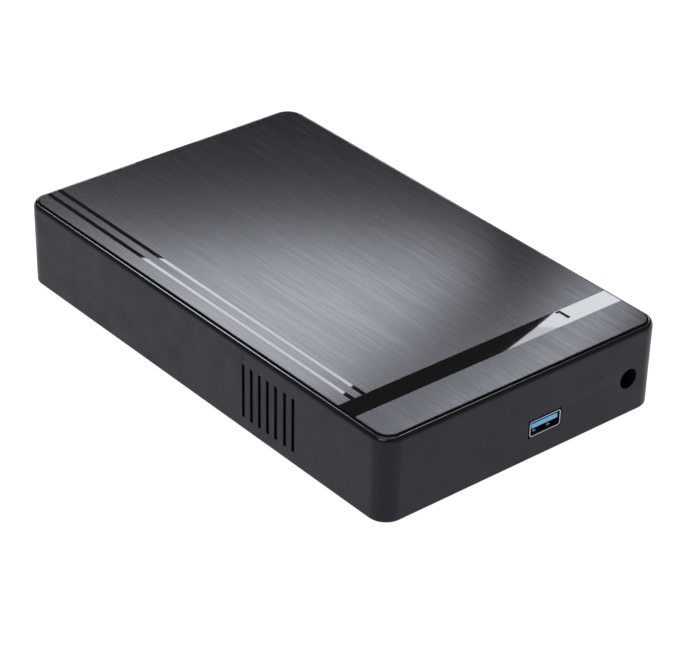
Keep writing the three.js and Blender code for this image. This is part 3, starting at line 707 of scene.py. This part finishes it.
def build_feet():
    """Round rubber feet, dished in the middle."""
    for number in range(1, 5):
        node = f"rubber_foot_{number}"
        low, high = cad(node)
        middle = (low + high) / 2
        radius = (high.x - low.x) / 2
        outline = (
            (0.0, low.z + 0.12),
            (radius - 2.2, low.z + 0.12),
            (radius - 2.0, low.z),
            (radius - 0.5, low.z),
            (radius - 0.12, low.z + 0.12),
            (radius, low.z + 0.4),
            (radius, high.z - 0.1),
            (radius - 0.1, high.z),
            (0.0, high.z),
        )
        foot = turned(f"foot_{number}", outline, middle.x, middle.y)
        smooth(foot, 40)
        place(foot, "case", node, (FINISH["rubber"],))


# ---- Top panel
def inlay_solid(name, extra, z):
    """The band across the panel and the two stripes that run into it."""
    band_y = (-PANEL_Y + 0.05 - extra, PANEL_Y - 0.05 + extra)
    inlay = block(name, (BAND_END_X - BAND_WIDTH - extra, BAND_END_X + extra), band_y, z)
    bm = bmesh.new()
    for y in STRIPE_Y:
        half = STRIPE_WIDTH / 2 + extra
        add_block(bm, (0.05 - PANEL_X - extra, BAND_END_X - 1), (y - half, y + half), z)
    return join(inlay, make_object("stripes", bm))


def window_solid(name, extra, z):
    """The indicator: a narrow bar along x with a short leg at its inner end."""
    bar_x = (WINDOW_LOW.x - extra, WINDOW_HIGH.x + extra)
    bar = block(name, bar_x, (WINDOW_HIGH.y - WINDOW_WIDTH - extra, WINDOW_HIGH.y + extra), z)
    leg_x = (WINDOW_LOW.x - extra, WINDOW_LOW.x + WINDOW_LEG_WIDTH + extra)
    leg_y = (WINDOW_LOW.y - extra, WINDOW_HIGH.y - WINDOW_WIDTH / 2)
    return join(bar, block("leg", leg_x, leg_y, z))


def window_slot():
    return window_solid("slot", SLOT_CLEARANCE, (TOP_Z - PANEL_THICKNESS - 1, TOP_Z + 1))


def build_panel():
    """The plate with its three tabs and its lug, cut for the gloss insert and the indicator."""
    bottom = TOP_Z - PANEL_THICKNESS
    pairs = [(0.0, bottom)] + rounding(0.0, TOP_Z, PANEL_EDGE, PANEL_EDGE, 3)
    rings = [ring_points(PANEL_X - i, PANEL_Y - i, PANEL_CORNER - i, z) for i, z in pairs]
    panel = loft("brushed_cover", rings)
    posts, tabs = bmesh.new(), bmesh.new()
    for y in TAB_Y:
        wide = (y - TAB_HALF_WIDTH, y + TAB_HALF_WIDTH)
        add_block(posts, (TAB_X[0], TAB_X[0] + 1.6), wide, (TAB_Z[0], bottom + 0.5))
        add_block(tabs, (TAB_X[0] + 0.5, TAB_X[1]), wide, TAB_Z)
    add_block(posts, LUG_X, (-LUG_HALF_WIDTH, LUG_HALF_WIDTH), (LUG_Z, bottom + 0.5))
    join(panel, make_object("posts", posts))
    join(panel, make_object("tabs", tabs))
    recess_z = (TOP_Z - INLAY_DEPTH - 0.1, TOP_Z + 1)
    cut(panel, inlay_solid("recess", INLAY_CLEARANCE, recess_z), window_slot())
    for polygon in panel.data.polygons:
        if polygon.normal.z < 0.5 and polygon.center.z < (TOP_Z - 0.3) * MM:
            polygon.material_index = 1
    soften(panel, 0.05, 1)
    bake(panel)
    smooth(panel)
    place(panel, "panel", "top_panel", (FINISH["panel"], FINISH["under_panel"]))

    inlay = inlay_solid("gloss_band", 0.0, (TOP_Z - INLAY_DEPTH, TOP_Z - INLAY_SINK))
    cut(inlay, window_slot())
    soften(inlay, 0.04, 1)
    bake(inlay)
    smooth(inlay)
    place(inlay, "panel", "gloss_inlay", (FINISH["inlay"],))

    lens = window_solid("indicator_lens", 0.0, (WINDOW_LOW.z, TOP_Z - LENS_SINK))
    soften(lens, 0.08, 3)
    bake(lens)
    smooth(lens)
    place(lens, "panel", "indicator_window", (FINISH["smoked"],))


# ---- Ports
USB_MIDDLE_Y = ((USB_LOW + USB_HIGH) / 2).y


def shell_ring(inset, x):
    """The USB shell's outline, inset by a distance, at one x."""
    half = (USB_HIGH - USB_LOW) / 2
    centre = (USB_HIGH + USB_LOW) / 2
    points = ring_points(half.y - inset, half.z - inset, SHELL_CORNER - inset, x, steps=6)
    return [(px, centre.y + py, centre.z + pz) for py, pz, px in points]


def build_usb_shell():
    """The folded shell, with slits round its four spring fingers and bumps on the lower two."""
    middle = USB_MIDDLE_Y
    front = USB_HIGH.x
    edge_x, edge_y = SHELL_EDGE
    rings = [
        shell_ring(0, USB_LOW.x),
        shell_ring(0, front - edge_x),
        shell_ring(edge_y, front),
        shell_ring(SHELL_METAL - edge_y, front),
        shell_ring(SHELL_METAL, front - edge_x),
        shell_ring(SHELL_METAL, USB_LOW.x + 1),
    ]
    # The inner faces take the darker copy of the plating, which paints the shade inside the port.
    shell = loft("usb_folded_shell", rings, lambda index: 1 if index >= 4 else 0)
    bm = bmesh.new()
    near, far = FINGER_SPAN
    for y in (middle - FINGER_OFFSET, middle + FINGER_OFFSET):
        for z in (USB_LOW.z + SHELL_METAL / 2, USB_HIGH.z - SHELL_METAL / 2):
            through = (z - SHELL_METAL, z + SHELL_METAL)
            for slit in (y - FINGER_HALF_WIDTH, y + FINGER_HALF_WIDTH):
                slit_y = (slit - SLIT_HALF_WIDTH, slit + SLIT_HALF_WIDTH)
                add_block(bm, (front - far, front - near), slit_y, through)
            reach = FINGER_HALF_WIDTH + SLIT_HALF_WIDTH
            add_block(bm, (front - far - 0.4, front - far - 0.1), (y - reach, y + reach), through)
    cut(shell, make_object("finger_slits", bm))
    bm = bmesh.new()
    for offset in BUMP_OFFSETS:
        y = (middle + offset - 0.75, middle + offset + 0.75)
        add_block(bm, (front - 2.7, front - 1.3), y, (USB_LOW.z + 0.1, USB_LOW.z + 1.15))
    join(shell, soften(make_object("finger_bumps", bm), 0.3, 3, 60))
    smooth(shell, 40)
    finishes = (FINISH["shell"], FINISH["shell_inside_painted_shade"])
    place(shell, "case", "usb_shell", finishes)


def build_usb_tongue():
    """The blue tongue, with four contacts on its underside."""
    low, high = TONGUE_LOW, TONGUE_HIGH
    tongue_z = (low.z, high.z - TONGUE_TOP_GAP)
    tongue = block("usb_blue_tongue", (low.x, high.x), (low.y, high.y), tongue_z)
    soften(tongue, 0.18, 3)
    bake(tongue)
    smooth(tongue)
    place(tongue, "case", "usb_tongue", (FINISH["blue"],))
    bm = bmesh.new()
    for index in range(4):
        y = USB_MIDDLE_Y + (index - 1.5) * CONTACT_PITCH
        add_block(bm, (high.x - 6.5, high.x - 1.6), (y - 0.5, y + 0.5), (low.z - 0.12, low.z - 0.01))
    contacts = make_object("usb_contacts", bm)
    soften(contacts, 0.05, 2)
    bake(contacts)
    smooth(contacts)
    place(contacts, "case", None, (FINISH["gold"],))


def build_jack():
    """The DC inlet: a body behind the wall, a barrel through it, and the centre pin."""
    y = (PIN_LOW.y + PIN_HIGH.y) / 2
    z = (PIN_LOW.z + PIN_HIGH.z) / 2
    body_x = (JACK_LOW.x, HALF_X - SIDE_WALL - 0.4)
    jack = block("dc_jack_body", body_x, (JACK_LOW.y, JACK_HIGH.y), (JACK_LOW.z, JACK_HIGH.z))
    join(jack, rod("barrel", DC_RADIUS - GAP, (body_x[1] - 1, y, z), (JACK_HIGH.x, y, z)))
    cut(jack, rod("bore", DC_BORE, (DC_BORE_START_X, y, z), (JACK_HIGH.x + BEYOND, y, z)))
    soften(jack, 0.12, 3)
    bake(jack)
    smooth(jack)
    # Its plastic is darkened past plain black as painted shade in the socket.
    place(jack, "case", "dc_jack", (FINISH["jack"],))

    bm = bmesh.new()
    radius = (PIN_HIGH.z - PIN_LOW.z) / 2
    taper = (PIN_HIGH.x - 0.6, y, z)
    add_rod(bm, radius, (PIN_LOW.x, y, z), taper, 32)
    add_rod(bm, radius, taper, (PIN_HIGH.x, y, z), 32, radius * 0.5)
    bmesh.ops.remove_doubles(bm, verts=bm.verts, dist=1e-4)
    pin = make_object("dc_centre_pin", bm)
    smooth(pin)
    place(pin, "case", "dc_pin", (FINISH["black"],))


# ---- Small parts soldered to the bridge board
CHIP_LEGS = 12
CHIP_LEG_PITCH = 0.6
CHIP_LEG_REACH = (4.05, 5.0)
CHIP_LEG_HALF_WIDTH = 0.13
CHIP_CAPACITORS = (
    [(x, -15.2) for x in (74.4, 76.4, 78.4, 80.4)]
    + [(84.6, y) for y in (-14, -11.6, -9.2, -6.8)]
    + [(88.2, y) for y in (-12.8, -10.4, -8.0)]
    + [(73.8, y) for y in (18, 20.4, 22.8, 25.2)]
    + [(82.4, y) for y in (18, 20.4, 22.8)]
    + [(74.0, y) for y in (-22, -24.4, -26.8)]
)
COIL_X = (73, 77)
COIL_Y = (40, 44)
CRYSTAL_AT = (86.5, -22)


def build_board_parts():
    """Chip capacitors with their solder ends, the chip's legs, a coil and a crystal can."""
    top = BOARD_HIGH.z + 0.01
    ends, bodies = bmesh.new(), bmesh.new()
    for x, y in CHIP_CAPACITORS:
        add_block(bodies, (x - 0.55, x + 0.55), (y - 0.4, y + 0.4), (top, top + 0.5))
        for side in (-1, 1):
            end = sorted((x + side * 0.56, x + side * 0.85))
            add_block(ends, end, (y - 0.42, y + 0.42), (top, top + 0.54))
    middle = (CHIP_LOW + CHIP_HIGH) / 2
    leg_z = (top, top + 0.2)
    for index in range(CHIP_LEGS):
        offset = (index - (CHIP_LEGS - 1) / 2) * CHIP_LEG_PITCH
        wide_x = [middle.x + offset + side * CHIP_LEG_HALF_WIDTH for side in (-1, 1)]
        wide_y = [middle.y + offset + side * CHIP_LEG_HALF_WIDTH for side in (-1, 1)]
        for side in (-1, 1):
            add_block(ends, sorted(middle.x + side * reach for reach in CHIP_LEG_REACH), wide_y, leg_z)
            add_block(ends, wide_x, sorted(middle.y + side * reach for reach in CHIP_LEG_REACH), leg_z)
    add_block(bodies, COIL_X, COIL_Y, (top, top + 2.0))
    for name, bm, finish, slot in (
        ("solder_ends", ends, "shell", "connector_metal"),
        ("chip_capacitors", bodies, "ceramic", "black_plastic"),
    ):
        parts = make_object(name, bm)
        soften(parts, 0.06, 2)
        bake(parts)
        smooth(parts)
        place(parts, "case", None, (FINISH[finish],))
    rings = []
    for lip, height in ((0.35, 0), (0.35, 0.25), (0, 0.3), (0, 2.6), (-0.3, 2.9)):
        ring = ring_points(2.4 + lip, 1.6 + lip, 1.2, top + height)
        rings.append([(x + CRYSTAL_AT[0], y + CRYSTAL_AT[1], z) for x, y, z in ring])
    crystal = loft("crystal_can", rings)
    smooth(crystal)
    place(crystal, "case", None, (FINISH["steel"],))


# ---- Pieces whose CAD shape is right: finer edges and a better finish
KEPT = {
    "steel": (
        "board_screw_1",
        "board_screw_2",
        "drive_cover",
        "pivot_bearing",
        "lower_yoke",
        "upper_yoke",
        "platter_clamp",
        "clamp_screw",
        "head_suspension_1",
        "head_suspension_2",
        "head_suspension_3",
        "head_suspension_4",
    ),
    "board": ("bridge_board", "drive_board"),
    "black": ("sata_receptacle", "drive_sata_plug"),
    "chip": ("bridge_chip", "controller_chip", "memory_chip"),
    "cast": ("drive_base",),
    "turned": ("spindle_hub", "platter_spacer", "head_arm_block", "capacitor"),
    "disc": ("platter_1", "platter_2"),
    "copper": ("motor_stator", "voice_coil"),
    "nickel": ("voice_magnet",),
    "white": ("air_filter", "head_ramp", "actuator_lock"),
    "label": ("drive_label",),
    "film": ("flex_circuit",),
    "rubber": ("drive_gasket",),
    "clear": ("status_led", "light_pipe"),
}


def keep(node, finish, edge=0.12):
    """Gives a CAD node rounded edges and a finish."""
    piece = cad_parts[node]
    piece.data.materials.clear()
    piece.data.materials.append(FINISH[finish])
    soften(piece, edge, 2, 40)
    piece.data.polygons.foreach_set("use_smooth", [True] * len(piece.data.polygons))
    normals = piece.modifiers.new("normals", "WEIGHTED_NORMAL")
    normals.keep_sharp = True
    normals.weight = 80


def build_kept():
    for finish, nodes in KEPT.items():
        for node in nodes:
            keep(node, finish)
    for number in range(1, 7):
        keep(f"cover_screw_{number}", "steel", 0.15)


def build_pads():
    """Foam strips: crowned closed forms, flat only where they are stuck down."""
    steps = 6
    pads = {"floor_pad_1": "case", "floor_pad_2": "case", "panel_pad_1": "panel", "panel_pad_2": "panel"}
    for node, body in pads.items():
        low, high = cad(node)
        half = (high - low) / 2
        middle = (low + high) / 2
        rings = []
        for step in range(steps + 1):
            rise = step / steps
            inset = 0.35 * (1 - math.sqrt(1 - rise * rise)) + 0.9 * rise**6
            crown = 2 * half.z * rise
            z = low.z + crown if body == "case" else high.z - crown
            points = ring_points(half.x - inset, half.y - inset, 1.2, z, middle.x, 6)
            rings.append([(x, y + middle.y, z) for x, y, z in points])
        pad = loft(node.replace("pad", "foam_strip"), rings)
        smooth(pad, 60)
        place(pad, body, node, (FINISH["foam"],))


# ---- Stage, lights and camera
CAMERA_AZIMUTH = 49.675
CAMERA_ELEVATION = 31.376
CAMERA_ROLL = 1.444
CAMERA_DISTANCE = 884.2
CAMERA_TARGET = Vector((17.97, -9.48, 17.8))
LENS = 141.15
SENSOR = 36.0
FLOOR_HALF_WIDTH = 4000
FLOOR_THICKNESS = 20

# The softboxes stand in one plane behind the object that faces it, and the gloss insert mirrors
# them. Each has a strength and its corners, in millimetres across and up that plane. The left
# one and the right pair leave a dark strip between their slanted edges.
SOFTBOX_DISTANCE = 1500
SOFTBOX_CENTRE_X = 20
SOFTBOX_TINT = (0.968, 1.0, 1.053)
SOFTBOXES = {
    "softbox_left": (
        7.0,
        [(-460, -40), (-170, -40), (-60, -53), (129, -53), (-440, 477), (-640, 477), (-460, 200)],
    ),
    "softbox_right": (8.0, [(207, -30), (254, -30), (244, 12), (160, 12)]),
    "softbox_dimmed": (
        5.9,
        [(160, 12), (232, 12), (208, 48), (208, 147), (-20, 147), (50, 90), (120, 45)],
    ),
}


def direction(azimuth, elevation):
    """A unit vector towards a place round the object; azimuth 0 is towards -Y, 90 towards +X."""
    a, e = math.radians(azimuth), math.radians(elevation)
    return Vector((math.sin(a) * math.cos(e), -math.cos(a) * math.cos(e), math.sin(e)))


def build_camera():
    data = bpy.data.cameras.new("camera")
    data.lens = LENS
    data.sensor_width = SENSOR
    data.clip_start = 0.02
    data.clip_end = 20
    camera = bpy.data.objects.new("camera", data)
    back = direction(CAMERA_AZIMUTH, CAMERA_ELEVATION)
    camera.location = (CAMERA_TARGET + back * CAMERA_DISTANCE) * MM
    turn = back.to_track_quat("Z", "Y").to_matrix().to_4x4()
    roll = Matrix.Rotation(math.radians(CAMERA_ROLL), 4, "Z")
    camera.matrix_world = Matrix.Translation(camera.location) @ turn @ roll
    bpy.context.collection.objects.link(camera)
    bpy.context.scene.camera = camera


def emitter(name, corners, strength):
    """A flat softbox through the given corners."""
    bm = bmesh.new()
    bm.faces.new([bm.verts.new(corner) for corner in corners])
    softbox = make_object(name, bm)
    material = bpy.data.materials.new(name)
    material.use_nodes = True
    tree = material.node_tree
    tree.nodes.clear()
    output = tree.nodes.new("ShaderNodeOutputMaterial")
    glow = tree.nodes.new("ShaderNodeEmission")
    glow.inputs["Strength"].default_value = strength
    glow.inputs["Color"].default_value = (*SOFTBOX_TINT, 1.0)
    tree.links.new(glow.outputs[0], output.inputs[0])
    softbox.data.materials.append(material)


def build_softboxes():
    away = direction(CAMERA_AZIMUTH + 180, CAMERA_ELEVATION)
    across = away.cross(Vector((0, 0, 1))).normalized()
    upward = across.cross(away).normalized()
    centre = Vector((SOFTBOX_CENTRE_X, 0, TOP_Z)) + away * SOFTBOX_DISTANCE
    for name, (strength, corners) in SOFTBOXES.items():
        emitter(name, [centre + across * u + upward * v for u, v in corners], strength)


def area_light(name, azimuth, elevation, distance, size, power):
    """A square light that faces the object; distance and size in metres, power in watts."""
    data = bpy.data.lights.new(name, "AREA")
    data.shape = "RECTANGLE"
    data.size = data.size_y = size
    data.energy = power
    light = bpy.data.objects.new(name, data)
    towards = direction(azimuth, elevation)
    turn = towards.to_track_quat("Z", "Y").to_matrix().to_4x4()
    light.matrix_world = Matrix.Translation(towards * distance) @ turn
    bpy.context.collection.objects.link(light)


def build_stage():
    """A pale floor, the softboxes, two soft lights and a faint even surround."""
    reach = (-FLOOR_HALF_WIDTH, FLOOR_HALF_WIDTH)
    floor = block("floor", reach, reach, (-FLOOR_THICKNESS, 0))
    nodes = Nodes("floor")
    nodes.set(Roughness=0.9, Specular_IOR_Level=0.1, Emission_Strength=0.98)
    nodes.set(Emission_Color=(1, 1, 1, 1))
    nodes.color(nodes.mix(nodes.noise(3), (0.30, 0.30, 0.30), (0.33, 0.33, 0.33)))
    floor.data.materials.append(nodes.material)

    build_softboxes()
    area_light("overhead", 0, 88, 1.3, 1.0, 1.5)
    area_light("front", 20, 40, 1.6, 0.8, 2.4)

    world = bpy.data.worlds.new("studio")
    bpy.context.scene.world = world
    world.use_nodes = True
    background = world.node_tree.nodes["Background"]
    background.inputs["Color"].default_value = (1, 1, 1, 1)
    background.inputs["Strength"].default_value = 0.10
    bpy.context.scene.view_settings.view_transform = "Standard"


build_camera()
build_stage()
build_case()
build_latch()
build_feet()
build_panel()
build_usb_shell()
build_usb_tongue()
build_jack()
build_board_parts()
build_kept()
build_pads()
